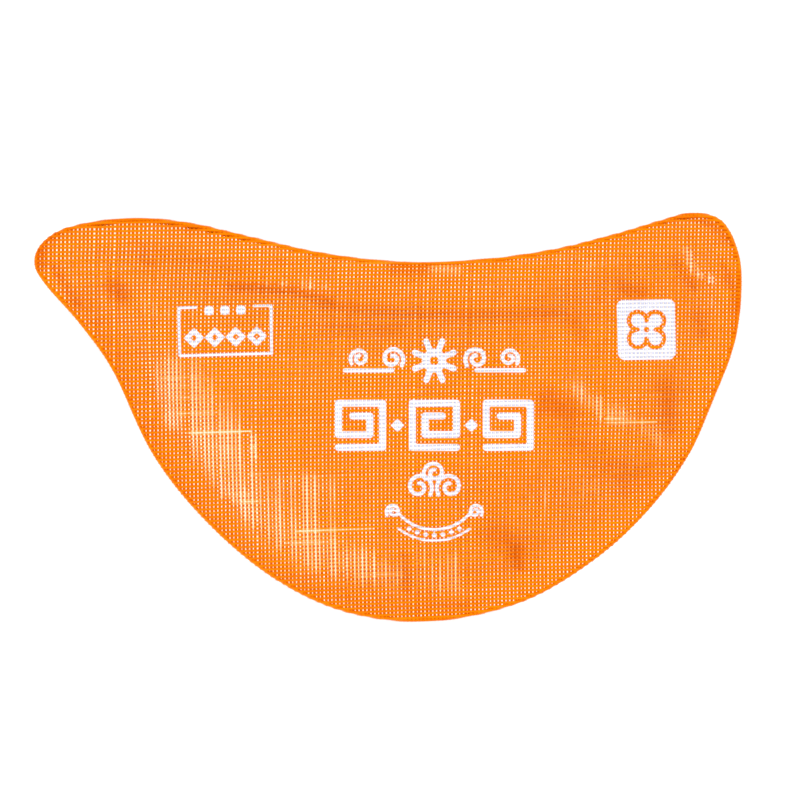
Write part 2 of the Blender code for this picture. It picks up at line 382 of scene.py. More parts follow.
# painted shade: each mark's shade darkens the threads, and the film under them, in creases, dents and folds and along
# the lower rim
FRONT_MARKS = (
    # the bulge's foot along the lower rim, with painted shade, and a painted highlight on the cloth just inside it
    Mark(((132, 345), (150, 385), (172, 425), (205, 478), (250, 522), (305, 560), (360, 584), (430, 590)), 7,
         rise=-0.25, shade=0.12),
    Mark(((84, 300), (112, 350), (134, 400), (158, 450), (192, 502), (240, 550), (300, 588), (380, 608), (470, 608)), 13,
         shade=0.38),
    Mark(((178, 372), (192, 420), (225, 468), (262, 512), (305, 545), (350, 568), (390, 578)), 24, painted_highlight=0.42),
    Mark(((190, 385), (225, 440)), 36, painted_highlight=0.36),
    Mark(((236, 450),), 26, rise=0.25, painted_highlight=0.3),
    Mark(((172, 420),), 9, painted_highlight=0.6),
    Mark(((228, 490), (246, 498)), 9, painted_highlight=0.7),
    Mark(((252, 512),), 11, painted_highlight=0.6),
    Mark(((262, 482), (345, 486)), 18, painted_highlight=0.34),
    Mark(((262, 520), (300, 545)), 26, painted_highlight=0.36),
    Mark(((330, 545),), 34, painted_highlight=0.3),
    Mark(((310, 500),), 30, painted_highlight=0.3),
    Mark(((350, 560), (385, 570)), 16, painted_highlight=0.35),
    Mark(((190, 432), (250, 432)), 3, painted_highlight=0.6, on=On.WARP),
    Mark(((162, 380), (228, 380)), 3, painted_highlight=0.4, on=On.WARP),
    Mark(((180, 416), (220, 415)), 2.5, painted_highlight=0.4, on=On.WARP),
    Mark(((250, 475), (352, 474)), 3, painted_highlight=0.45, on=On.WARP),
    Mark(((300, 530), (372, 529)), 3, painted_highlight=0.45, on=On.WARP),
    Mark(((285, 543), (360, 543)), 2.5, painted_highlight=0.4, on=On.WARP),
    Mark(((253, 438), (255, 456)), 4, painted_highlight=0.7),
    # the middle of the lower edge, with a crease beside it
    Mark(((425, 550), (436, 585)), 18, painted_highlight=0.36),
    Mark(((455, 560), (458, 588)), 12, painted_highlight=0.4),
    Mark(((405, 556), (406, 588)), 5, rise=-0.2, shade=0.6),
    # the dent under the print
    Mark(((495, 532), (515, 545)), 15, rise=-0.35, shade=0.6),
    Mark(((516, 550), (518, 566)), 6, rise=-0.3, shade=0.9),
    # the fold that runs down to the right
    Mark(((574, 388), (590, 402), (612, 418)), 12, rise=0.4, painted_highlight=0.5),
    Mark(((612, 412), (640, 425), (664, 444)), 14, rise=0.35, painted_highlight=0.4),
    Mark(((605, 422), (655, 423)), 3, painted_highlight=0.45, on=On.WARP),
    Mark(((548, 402), (566, 412)), 13, rise=-0.3, shade=0.8),
    Mark(((572, 440), (606, 462), (640, 480)), 13, rise=-0.3, shade=0.35),
    Mark(((648, 470), (682, 462)), 7, rise=-0.2, shade=0.3),
    Mark(((620, 480), (624, 496)), 6, shade=0.3),
    Mark(((664, 385), (670, 430)), 10, shade=0.6),
    Mark(((560, 486), (600, 490)), 22, painted_highlight=0.34),
    Mark(((548, 500), (552, 545)), 10, painted_highlight=0.25),
    # the bulge's foot under the hollow edge, and the folds above and below it
    Mark(((232, 287), (262, 288), (296, 292), (330, 300)), 5, rise=-0.25, shade=0.75),
    Mark(((326, 306), (400, 312), (470, 315), (560, 312)), 6, rise=-0.25, shade=0.5),
    Mark(((330, 328), (400, 330)), 6, shade=0.45),
    Mark(((268, 283), (330, 288)), 5, painted_highlight=0.35),
    Mark(((290, 276), (400, 291), (480, 292), (552, 286)), 8, rise=0.2, painted_highlight=0.25),
    Mark(((396, 268), (425, 268)), 7, rise=-0.4, shade=1.0),
    Mark(((432, 269), (458, 270)), 6, rise=0.3, painted_highlight=0.7),
    Mark(((262, 250), (330, 261), (390, 264)), 4, painted_highlight=0.3),
    Mark(((520, 262), (580, 257)), 5, painted_highlight=0.35),
    Mark(((585, 266), (618, 262)), 5, painted_highlight=0.45),
    Mark(((150, 310), (190, 315)), 14, painted_highlight=0.35),
    # the left horn's folds
    Mark(((36, 262), (38, 246), (48, 232)), 10, shade=1.0),
    Mark(((56, 268), (66, 288), (76, 304)), 5, rise=-0.25, shade=0.7),
    Mark(((73, 262), (76, 284)), 5, rise=0.2, painted_highlight=0.35),
    Mark(((92, 262), (98, 300)), 4, painted_highlight=0.15),
    Mark(((110, 266), (112, 290)), 4, rise=0.2, painted_highlight=0.3),
    Mark(((116, 288), (122, 296)), 9, rise=-0.3, shade=1.0),
    Mark(((132, 262), (136, 285)), 4, painted_highlight=0.2),
    Mark(((142, 258), (150, 262)), 5, shade=0.5),
    Mark(((140, 246), (240, 270)), 8, shade=0.25),
    Mark(((60, 226), (110, 218), (160, 220), (200, 226)), 8, shade=0.5),
    # the right horn's folds
    Mark(((662, 216), (690, 216), (714, 226), (731, 243)), 4, rise=-0.2, shade=0.7),
    Mark(((676, 222), (700, 226), (722, 240)), 3.5, rise=0.15, painted_highlight=0.25),
    Mark(((684, 250), (692, 266)), 6, rise=0.35, painted_highlight=0.75),
    Mark(((696, 274), (712, 280)), 5, rise=0.3, painted_highlight=0.75),
    Mark(((676, 262), (684, 278), (694, 288)), 5, rise=-0.25, shade=0.6),
    Mark(((722, 262), (734, 290), (737, 325)), 4, rise=-0.2, shade=0.6),
    Mark(((712, 300), (720, 320), (716, 350)), 6, painted_highlight=0.3),
    Mark(((622, 288), (640, 294)), 8, shade=0.6),
    Mark(((574, 322), (580, 335)), 8, shade=0.5),
    Mark(((698, 318), (702, 332)), 7, shade=0.5),
)


@dataclass(frozen=True)
class MarkField:
    """What a set of marks does at each of many places."""

    rise: Array
    weft_painted_highlight: Array
    warp_painted_highlight: Array
    shade: Array

    @classmethod
    def at(cls, marks: tuple[Mark, ...], x: Array, y: Array) -> "MarkField":
        """Adds up the marks' rises and painted shades, and takes the strongest painted highlights, at places in mm."""
        rise, shade, weft, warp = (np.zeros(np.shape(x)) for _ in range(4))
        for mark in marks:
            strength = mark.strength(x, y)
            rise += mark.rise * strength
            shade += mark.shade * strength
            if mark.on is not On.WARP:
                weft = 1 - (1 - weft) * (1 - np.minimum(mark.painted_highlight, 1) * strength)
            if mark.on is not On.WEFT:
                share = 1.0 if mark.on is On.WARP else 0.3
                warp = 1 - (1 - warp) * (1 - share * np.minimum(mark.painted_highlight, 1) * strength)
        return cls(rise, weft, warp, shade)


class Relief:
    """Heights of the front cloth, the back cloth and the film between them, taken from the CAD nodes."""

    spacing = 0.5

    def __init__(self, edge: Edge) -> None:
        """Reads both cloths' outer sides from the nodes and smooths their facets away."""
        self.edge = edge
        gx = np.arange(edge.low[0], edge.low[0] + edge.size[0] * edge.spacing, self.spacing)
        gy = np.arange(edge.low[1], edge.low[1] + edge.size[1] * edge.spacing, self.spacing)
        x, y = np.meshgrid(gx, gy, indexing="ij")
        rim = edge.distance(x, y) > -EDGE_BAND
        self.front_grid = self._outer_side("front_mesh", x, y, rim, Side.FRONT, FRONT_RIM_Z)
        self.back_grid = self._outer_side("back_mesh", x, y, rim, Side.BACK, CAD_BACK_RIM_Z)

    def _outer_side(self, node: str, x: Array, y: Array, rim: Array, side: Side, rim_z: float) -> Array:
        """Heights in mm of the node's outer side, less half a cloth, found with upright rays."""
        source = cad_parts[node]
        tree = BVHTree.FromObject(source, bpy.context.evaluated_depsgraph_get())
        away = side.value * 0.1
        down = Vector((0, 0, -side.value))
        hits = [tree.ray_cast(Vector((px * MM, py * MM, away)), down)[0] for px, py in zip(x[~rim], y[~rim])]
        grid = np.full(x.shape, rim_z)
        found = np.array([rim_z if hit is None else hit.z / MM - side.value * CLOTH_HALF for hit in hits])
        grid[~rim] = found
        return blur_grid(grid, 2.4)

    def front(self, x: Array, y: Array) -> Array:
        """Height in mm of the middle of the front cloth without its marks."""
        return read_grid(self.front_grid, self.edge.low, self.spacing, x, y)

    def back(self, x: Array, y: Array) -> Array:
        """Height in mm of the middle of the back cloth: the CAD's, with its rim lifted up to the film's flange.

        The lift is whole at the rim and fades out in proportion to how far the back has dropped.
        """
        height = read_grid(self.back_grid, self.edge.low, self.spacing, x, y)
        share = np.clip((height - CLOTH_HALF) / (CAD_BACK_RIM_Z - CLOTH_HALF), 0, 1)
        return height + (BACK_RIM_Z - CAD_BACK_RIM_Z) * share


@dataclass(frozen=True)
class WeaveGrid:
    """Places where weft and warp cross in the flat cloth, and half way between them.

    The column number u and the row number v are smooth functions of the place, because the threads are
    0.81 mm apart at the left horn and 0.75 mm at the right one, and lean a degree or so. With X = x / 70 mm
    and Y = y / 40 mm:
        u = 91.31 X + 1.27 X^2 - 0.34 X^3 - 0.64 Y - 0.74 Y^2 - 0.67 X Y + X^2 Y
        v = 52.69 Y + 0.11 Y^2 - 0.20 Y^3 - 2.22 X + 0.70 X^2 - 0.18 X^3 + 1.69 X Y - 0.75 X^2 Y - 0.29 X Y^2
    """

    columns: int = 99
    rows: int = 62
    seed: int = 11
    wander: float = 0.02

    def place(self) -> tuple[Array, Array]:
        """Solves u and v for the place, with each thread a little off its regular line.

        Returns:
            Arrays x and y in mm, 4 columns + 1 by 4 rows + 1, where even indices lie on threads.
        """
        across, along = 4 * self.columns + 1, 4 * self.rows + 1
        u = np.linspace(-self.columns, self.columns, across)[:, None] + np.zeros((1, along))
        v = np.linspace(-self.rows, self.rows, along)[None, :] + np.zeros((across, 1))
        u_off = self._offsets(2 * self.columns + 1, along, self.seed)
        v_off = self._offsets(2 * self.rows + 1, across, self.seed + 40)
        u = u + self._between(u_off, across)
        v = v + self._between(v_off, along).T
        x, y = u / 1.305, v / 1.317
        for _ in range(12):
            wrong_u, wrong_v = self._numbers(x, y)
            x = x - (wrong_u - u) / 1.305
            y = y - (wrong_v - v) / 1.317
        return x, y

    def _offsets(self, threads: int, length: int, seed: int) -> Array:
        """How far each thread is off its line, in cells: a steady part with a few large ones, and a slow wander."""
        steady = np.random.default_rng(seed).standard_t(4, threads)[:, None] * self.wander
        slow = thread_noise(threads, length, 60, seed + 1) * self.wander * 1.5
        return np.clip(steady + slow, -0.15, 0.15)

    @staticmethod
    def _between(offsets: Array, length: int) -> Array:
        """Offsets of the threads, with the mean of two neighbours put in between them."""
        full = np.zeros((length, offsets.shape[1]))
        full[::2] = offsets
        full[1::2] = 0.5 * (offsets[:-1] + offsets[1:])
        return full

    @staticmethod
    def _numbers(x: Array, y: Array) -> tuple[Array, Array]:
        """Column and row number of a place in mm, by the formula above."""
        a, b = x / 70, y / 40
        u = 91.31 * a + 1.267 * a**2 - 0.343 * a**3 - 0.644 * b - 0.744 * b**2 - 0.67 * a * b + a**2 * b
        v = (52.69 * b + 0.108 * b**2 - 0.197 * b**3 - 2.219 * a + 0.704 * a**2 - 0.182 * a**3
             + 1.69 * a * b - 0.745 * a**2 * b - 0.29 * a * b**2)
        return u, v


@dataclass(frozen=True)
class Yarn:
    """Section of one set of threads, in mm.

    Attributes:
        width: Width between its two edges.
        height: Height of its crown over its edges.
        foot: Height of its edges over the cloth's middle, where it crosses the other set.
        span_foot: The same, half way between two crossings.
        pinch: Share of its width that it loses half way between two crossings.
        span_shade: How much painted shade darkens it half way between two crossings, where it lies low between threads
            of the other set.
    """

    width: float
    height: float
    foot: float
    span_foot: float
    pinch: float
    span_shade: float


WEFT_YARN = Yarn(width=0.48, height=0.27, foot=-0.10, span_foot=-0.13, pinch=0.06, span_shade=0.0)
WARP_YARN = Yarn(width=0.585, height=0.17, foot=-0.17, span_foot=-0.16, pinch=0.10, span_shade=0.45)


@dataclass
class MeshCloth:
    """One cloth of open weave: a set of weft threads laid over a set of warp threads.

    Attributes:
        side: Side of the packet that it is on.
        edge: The outline.
        relief: Heights that it follows.
        weave: Places of its crossings.
        marks: Its creases and rubbed places.
    """

    side: Side
    edge: Edge
    relief: Relief
    weave: WeaveGrid
    marks: tuple[Mark, ...] = ()
    pieces: dict[Threads, bpy.types.Object] = field(default_factory=dict)

    def cut(self) -> float:
        """How far in mm past the outline the flat cloth is cut; negative for inside it."""
        if self.side is Side.BACK:
            return -BACK_INSET
        return (math.pi - 1) * ROLL_RADIUS - ROLL_INSET + HEM_WIDTH

    def build(self) -> None:
        """Works out the cloth's middle surface and spins both sets of threads on it."""
        x, y = self.weave.place()
        distance = self.edge.distance(x, y)
        points, shaded = self._fold(x, y, distance) if self.side is Side.FRONT else self._lay(x, y)
        normals = self._normals(points)
        inside = distance < self.cut() + 0.25 * plane_noise(x, y, 5.0, 5)
        field_at = MarkField.at(self.marks, x, y)
        for threads in Threads:
            self.pieces[threads] = self._spin(threads, x, y, points, normals, inside, field_at, distance)

    def _lay(self, x: Array, y: Array) -> tuple[Array, Array]:
        """The back cloth's middle surface: each flat place at the height of the relief."""
        height = self.relief.back(x, y)
        return np.stack([x, y, height], axis=-1), height

    def _fold(self, x: Array, y: Array, distance: Array) -> tuple[Array, Array]:
        """The front cloth's middle surface, rolled round the packet's edge into a hem.

        With t the distance past a line that lies one roll radius r and a small inset inside the outline: up to
        t = 0 the cloth follows the relief, up to t = pi r it goes round a half circle, and after that it runs back
        in, 2 r lower.
        """
        radius, line = ROLL_RADIUS, ROLL_RADIUS + ROLL_INSET
        past = distance + line
        turn = np.clip(past / radius, 0, math.pi)
        reach = np.where(past < 0, distance, -line + radius * np.sin(turn) - np.maximum(past - math.pi * radius, 0))
        gx, gy = self.edge.outward(x, y)
        px, py = x + gx * (reach - distance), y + gy * (reach - distance)
        held = np.minimum(distance, -line)
        tx, ty = x + gx * (held - distance), y + gy * (held - distance)
        height = front_height(self.relief, self.edge, tx, ty) - radius * (1 - np.cos(turn))
        return np.stack([px, py, height], axis=-1), height

    def _normals(self, points: Array) -> Array:
        """Unit vectors out of the cloth: the cross product of the steps along weft and along warp."""
        normal = np.cross(np.gradient(points, axis=0), np.gradient(points, axis=1))
        normal *= self.side.value
        return normal / np.maximum(np.linalg.norm(normal, axis=-1, keepdims=True), 1e-9)

    def _spin(self, threads: Threads, x: Array, y: Array, points: Array, normals: Array, inside: Array,
              marks: MarkField, distance: Array) -> bpy.types.Object:
        """Makes one set of threads as one piece.

        A thread is a run of nodes, one at each crossing and one between. At a node its section is a low arch: two
        edges and a crown. Its edges are at foot over a crossing and at span_foot between, so that it rises and falls
        along its length.
        """
        weft = threads is Threads.WEFT
        yarn = WEFT_YARN if weft else WARP_YARN
        pick = (lambda a: np.swapaxes(a, 0, 1)[::2]) if weft else (lambda a: a[::2])
        centre, normal, mask = pick(points), pick(normals), pick(inside)
        flat_x, flat_y = pick(x), pick(y)
        painted_highlight = pick(marks.weft_painted_highlight if weft else marks.warp_painted_highlight)
        shade, past = pick(marks.shade), pick(distance)
        count, length = mask.shape
        crossing = (np.arange(length) % 2 == 0)[None, :]
        seed = (100 if weft else 200) + (0 if self.side is Side.FRONT else 50)
        slow = thread_noise(count, length, 34, seed)
        own = np.random.default_rng(seed + 1).uniform(-1, 1, (count, 1))
        wide = yarn.width * (1 + 0.03 * slow + 0.03 * own) * np.where(crossing, 1, 1 - yarn.pinch)
        foot = np.where(crossing, yarn.foot, yarn.span_foot)
        high = yarn.height * (1 + 0.05 * thread_noise(count, length, 9, seed + 2))
        along = np.gradient(centre, axis=1)
        aside = np.cross(normal, along)
        aside /= np.maximum(np.linalg.norm(aside, axis=-1, keepdims=True), 1e-9)
        half = (wide / 2)[..., None] * aside
        base = centre + foot[..., None] * normal
        crown = base + high[..., None] * normal
        section = np.stack([base + half, crown, base - half], axis=2)
        verts, quads, caps, kept = thread_faces(section, mask)
        piece = write_mesh(f"{self.side.name.lower()}_{threads.value}", verts, quads, caps)
        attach(piece, BODY)
        sharpen_brinks(piece)

        def spread(values: Array) -> Array:
            """One value a node given to its three vertices."""
            return np.repeat(np.broadcast_to(values, mask.shape)[kept], 3)

        # painted highlight: a streak of pale spans runs across the threads, along one line of holes, and starts and
        # ends within a cell; its brightness varies slowly
        streak = thread_noise(length, count, 34, seed + 3).T
        vivid = 0.7 + 0.3 * thread_noise(length, count, 50, seed + 6).T
        flicker = np.random.default_rng(seed + 4).uniform(-1, 1, mask.shape)
        # random tone per thread, along it and from node to node, less painted shade in the marks' creases and in the
        # low spans between crossings
        tone_and_shade = 0.5 + 0.05 * own + 0.06 * slow + 0.07 * flicker - 0.34 * shade
        tone_and_shade = tone_and_shade - np.where(crossing, 0.0, yarn.span_shade)
        open_cloth = smoothstep(-4.6, -6.2, past)
        lit = np.clip((1.2 * painted_highlight + 0.42 * streak * (0.3 + painted_highlight) - 0.22) * 1.7, 0, 1) * vivid
        lit = lit * open_cloth + 0.8 * painted_highlight * (1 - open_cloth)
        lit = np.clip(lit + 0.1 * flicker * painted_highlight, 0, 1) * np.where(crossing, 0.12, 1)
        give_values(piece, "tone_and_shade", spread(tone_and_shade))
        give_values(piece, "painted_highlight", spread(lit))
        # painted shade: 1 at a thread's two edges and 0 at its crown; the material darkens the edges with it
        across = np.tile(np.array([1.0, 0.0, 1.0]), int(kept.sum()))
        give_values(piece, "brink", across)
        give_values(piece, "span", spread(np.where(crossing, 0.0, 1.0)))
        if self.side is Side.FRONT:
            spots = flat_places(flat_x, flat_y, kept, wide, weft)
            depth = FrontPrint().depth(*spots)
            give_values(piece, "print", np.where(np.repeat(past[kept], 3) > -0.5, -5.0, depth))
        return piece


def flat_places(x: Array, y: Array, kept: Array, wide: Array, weft: bool) -> tuple[Array, Array]:
    """Places in the flat cloth of each kept node's three vertices."""
    across = np.stack([wide / 2, np.zeros_like(wide), -wide / 2], axis=-1)[kept]
    px, py = x[kept][:, None] + np.zeros(3), y[kept][:, None] + np.zeros(3)
    if weft:
        py = py + across
    else:
        px = px - across
    return px.ravel(), py.ravel()


def thread_faces(section: Array, mask: Array) -> tuple[Array, Array, Array, Array]:
    """Joins the sections of neighbouring kept nodes into closed threads.

    Args:
        section: Places of the three vertices of each node: threads by nodes by 3 by 3.
        mask: True for the nodes inside the cut.

    Returns:
        Vertices, side faces, end faces, and the mask of the nodes that were used.
    """
    joined = mask[:, :-1] & mask[:, 1:]
    kept = np.zeros_like(mask)
    kept[:, :-1] |= joined
    kept[:, 1:] |= joined
    number = (np.cumsum(kept.ravel()) - 1).reshape(kept.shape) * 3
    a, b = number[:, :-1][joined], number[:, 1:][joined]
    quads = np.concatenate([
        np.stack((a, a + 1, b + 1, b), axis=1),
        np.stack((a + 1, a + 2, b + 2, b + 1), axis=1),
        np.stack((a + 2, a, b, b + 2), axis=1),
    ])
    starts, stops = kept.copy(), kept.copy()
    starts[:, 1:] &= ~joined
    stops[:, :-1] &= ~joined
    s, e = number[starts], number[stops]
    caps = np.concatenate([np.stack((s, s + 2, s + 1), axis=1), np.stack((e, e + 1, e + 2), axis=1)])
    return section[kept].reshape(-1, 3), quads, caps, kept


def sharpen_brinks(piece: bpy.types.Object) -> None:
    """Marks the two lower edges of each thread sharp, so that its arch is shaded round and its flat side flat."""
    mesh = piece.data
    ends = np.empty(len(mesh.edges) * 2, np.int32)
    mesh.edges.foreach_get("vertices", ends)
    ends = ends.reshape(-1, 2)
    kinds = ends % 3
    brink = (kinds[:, 0] == kinds[:, 1]) & (kinds[:, 0] != 1)
    across = (ends[:, 0] // 3 == ends[:, 1] // 3) & (kinds.sum(axis=1) == 2)
    mesh.attributes.new("sharp_edge", "BOOLEAN", "EDGE").data.foreach_set("value", brink | across)


@dataclass(frozen=True)
class Stroke:
    """A printed line of one width through points in mm, with round ends; inked or left bare."""

    points: tuple[tuple[float, float], ...]
    width: float
    inked: bool = True

    def depth(self, x: Array, y: Array) -> Array:
        """How far in mm a place is inside the line: half its width less the distance to its middle."""
        nearest = np.full(x.shape, 1e9)
        for (ax, ay), (bx, by) in zip(self.points[:-1], self.points[1:]):
            rx, ry = bx - ax, by - ay
            share = np.clip(((x - ax) * rx + (y - ay) * ry) / (rx * rx + ry * ry), 0, 1)
            nearest = np.minimum(nearest, (x - ax - share * rx)**2 + (y - ay - share * ry)**2)
        return self.width / 2 - np.sqrt(nearest)


@dataclass(frozen=True)
class Tile:
    """A printed rectangle with rounded corners, turned by some degrees; inked or left bare."""

    centre: tuple[float, float]
    half: tuple[float, float]
    corner: float
    turn: float = 0.0
    inked: bool = True

    def depth(self, x: Array, y: Array) -> Array:
        """How far in mm a place is inside it, by the distance formula of a rounded box."""
        angle = math.radians(self.turn)
        dx, dy = x - self.centre[0], y - self.centre[1]
        ax = np.abs(dx * math.cos(angle) + dy * math.sin(angle)) - self.half[0] + self.corner
        ay = np.abs(dy * math.cos(angle) - dx * math.sin(angle)) - self.half[1] + self.corner
        outside = np.hypot(np.maximum(ax, 0), np.maximum(ay, 0))
        return self.corner - outside - np.minimum(np.maximum(ax, ay), 0)


def arc(centre: tuple[float, float], radius: float, start: float, end: float, steps: int = 14) -> tuple:
    """Points on a circle's arc, with its start and end in degrees."""
    angles = np.radians(np.linspace(start, end, steps))
    return tuple((centre[0] + radius * math.cos(a), centre[1] + radius * math.sin(a)) for a in angles)


def curl(centre: tuple[float, float], radius: float, hand: int, turns: float = 1.35, steps: int = 22) -> tuple:
    """Points on a spiral that opens from 0.25 of the radius to all of it; hand -1 mirrors it."""
    share = np.linspace(0, 1, steps)
    angles = math.radians(90) + hand * share * turns * 2 * math.pi
    reach = radius * (0.25 + 0.75 * share)
    return tuple((centre[0] + r * math.cos(a), centre[1] + r * math.sin(a)) for r, a in zip(reach, angles))


def fret(centre: tuple[float, float], half: float, hand: int) -> tuple:
    """Corner points of a square meander that winds inwards; hand -1 mirrors it."""
    steps = ((-1, -1), (1, -1), (1, 1), (-1, 1), (-1, -0.42), (0.42, -0.42), (0.42, 0.42), (-0.36, 0.42))
    return tuple((centre[0] + hand * a * half, centre[1] + b * half) for a, b in steps)


@dataclass(frozen=True)
class FrontPrint:
    """Plain white ornament printed on the front: a framed row, a badge, a band of meanders and two emblems.

    Places are in mm. The line widths are those of the real print, 0.5 mm in the fine parts and 1.3 mm in the
    bold ones.
    """

    bold: float = 1.35
    fine: float = 0.55

    def shapes(self) -> list[Stroke | Tile]:
        """All printed shapes in the order of printing, the bare ones last in each group."""
        return [*self.framed_row(), *self.badge(), *self.band(), *self.rosette(), *self.cloud()]

    def framed_row(self) -> list[Stroke | Tile]:
        """A frame that is open at its top, with four lozenges in it and three dots in its gap."""
        (cx, cy), turn = from_frame(226.5, 331.0), math.radians(1.5)
        half_x, half_y = 9.0, 4.7

        def put(a: float, b: float) -> tuple[float, float]:
            """Place in the turned frame."""
            return cx + a * math.cos(turn) - b * math.sin(turn), cy + a * math.sin(turn) + b * math.cos(turn)

        outline = (put(-5.6, half_y), put(-half_x, half_y), put(-half_x, -half_y), put(half_x, -half_y),
                   put(half_x, half_y), put(5.6, half_y))
        rows = [Stroke(outline, self.fine)]
        for k in (-1.5, -0.5, 0.5, 1.5):
            rows.append(Tile(put(k * 4.1, -1.3), (1.42, 1.42), 0.2, 46.5))
            rows.append(Tile(put(k * 4.1, -1.3), (0.5, 0.5), 0.1, 46.5, inked=False))
        for k in (-1, 0, 1):
            rows.append(Tile(put(k * 3.1, 4.0), (0.95, 0.95), 0.9))
        return rows

    def badge(self) -> list[Stroke | Tile]:
        """A rounded square with a bare ring of four petals and a bare middle."""
        centre = from_frame(645.0, 330.0)
        rows = [Tile(centre, (5.75, 5.9), 1.4, 1.0)]
        for a, b in ((-1, -1), (-1, 1), (1, -1), (1, 1)):
            petal = (centre[0] + a * 1.75, centre[1] + b * 1.75)
            start = math.degrees(math.atan2(b, a))
            rows.append(Stroke(arc(petal, 1.75, start - 135, start + 135), 0.85, inked=False))
        rows.append(Tile(centre, (0.55, 0.55), 0.5, inked=False))
        return rows

    def band(self) -> list[Stroke | Tile]:
        """Three meanders in a row, each the other hand of the one before, with lozenges between them."""
        rows = []
        for place, hand in ((361.0, 1), (434.0, -1), (507.0, 1)):
            rows.append(Stroke(fret(from_frame(place, 425.0), 4.3, hand), self.bold))
        for place in (397.5, 470.5):
            rows.append(Tile(from_frame(place, 425.0), (0.95, 0.95), 0.2, 45.0))
        return rows

    def rosette(self) -> list[Stroke | Tile]:
        """Eight petals round a ring, with a curl and a bar at either side."""
        cx, cy = from_frame(434.0, 361.0)
        rows = []
        for k in range(8):
            a = math.radians(22.5 + 45 * k)
            tip = (cx + 4.1 * math.cos(a), cy + 4.1 * math.sin(a))
            rows.append(Stroke(((cx + 1.9 * math.cos(a), cy + 1.9 * math.sin(a)), tip), 1.15))
        rows.append(Tile((cx, cy), (2.3, 2.3), 2.25))
        rows.append(Tile((cx, cy), (0.85, 0.85), 0.8, inked=False))
        for hand in (-1, 1):
            side = (cx + hand * 8.2, cy + 0.4)
            rows.append(Stroke(curl(side, 2.3, hand), 0.8))
            rows.append(Stroke(((cx + hand * 8.2, cy - 1.9), (cx + hand * 17.5, cy - 1.9)), 0.8))
            rows.append(Stroke(curl((cx + hand * 14.6, cy + 0.5), 1.9, -hand), 0.7))
        return rows

    def cloud(self) -> list[Stroke | Tile]:
        """A cloud of curls over two arcs."""
        cx, cy = from_frame(434.0, 492.0)
        rows = []
        for hand in (-1, 1):
            rows.append(Stroke(curl((cx + hand * 3.0, cy + 1.2), 2.7, hand), 0.75))
            rows.append(Stroke(curl((cx + hand * 8.0, cy - 3.6), 1.5, -hand), self.fine))
        rows.append(Stroke(curl((cx, cy + 4.0), 2.2, 1), 0.7))
        rows.append(Stroke(arc((cx, cy + 2.0), 9.2, 216, 324, 20), self.fine))
        rows.append(Stroke(arc((cx, cy + 2.0), 11.4, 232, 308, 20), 0.45))
        for k in range(-3, 4):
            a = math.radians(270 + 9.5 * k)
            rows.append(Tile((cx + 10.3 * math.cos(a), cy + 2.0 + 10.3 * math.sin(a)), (0.42, 0.42), 0.1, 45.0))
        return rows

    def depth(self, x: Array, y: Array) -> Array:
        """How far in mm each place is inside the print: the most of the inked shapes, less the bare ones."""
        value = np.full(x.shape, -5.0)
        for shape in self.shapes():
            found = shape.depth(x, y)
            value = np.maximum(value, found) if shape.inked else np.minimum(value, -found)
        return value


def front_height(relief: Relief, edge: Edge, x: Array, y: Array) -> Array:
    """Height in mm of the middle of the front cloth, with its marks and the waves of its rim."""
    marks = MarkField.at(FRONT_MARKS, x, y)
    rim = smoothstep(-9.0, -3.0, edge.distance(x, y))
    waves = 0.10 * plane_noise(x, y, 9.0, 3) * rim + 0.10 * plane_noise(x, y, 7.0, 4) * (1 - rim)
    return relief.front(x, y) + marks.rise * (1 - 0.6 * rim) + waves


